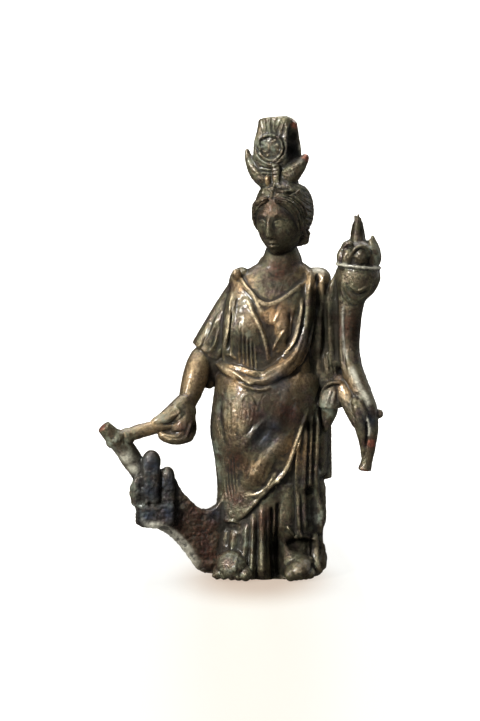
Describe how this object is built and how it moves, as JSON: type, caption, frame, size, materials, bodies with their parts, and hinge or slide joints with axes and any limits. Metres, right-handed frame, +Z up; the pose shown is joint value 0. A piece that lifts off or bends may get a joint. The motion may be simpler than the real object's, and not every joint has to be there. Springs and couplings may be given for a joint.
{
  "type": "bronze statuette",
  "caption": "Solid cast bronze statuette of a standing draped goddess with a feathered crown, holding a steering oar and a horn of plenty.",
  "frame": {"origin": "middle of the flat underside that the figure stands on", "axes": "+Z up through the crown, -Y out of the figure's front, +X to the viewer's right"},
  "size_m": [0.073, 0.0256, 0.1205],
  "materials": {
    "bronze": "satin dark brown patina with golden brown wear on the ridges and green in the hollows"
  },
  "bodies": {
    "root": {"statuette": "bronze"}
  },
  "joints": []
}
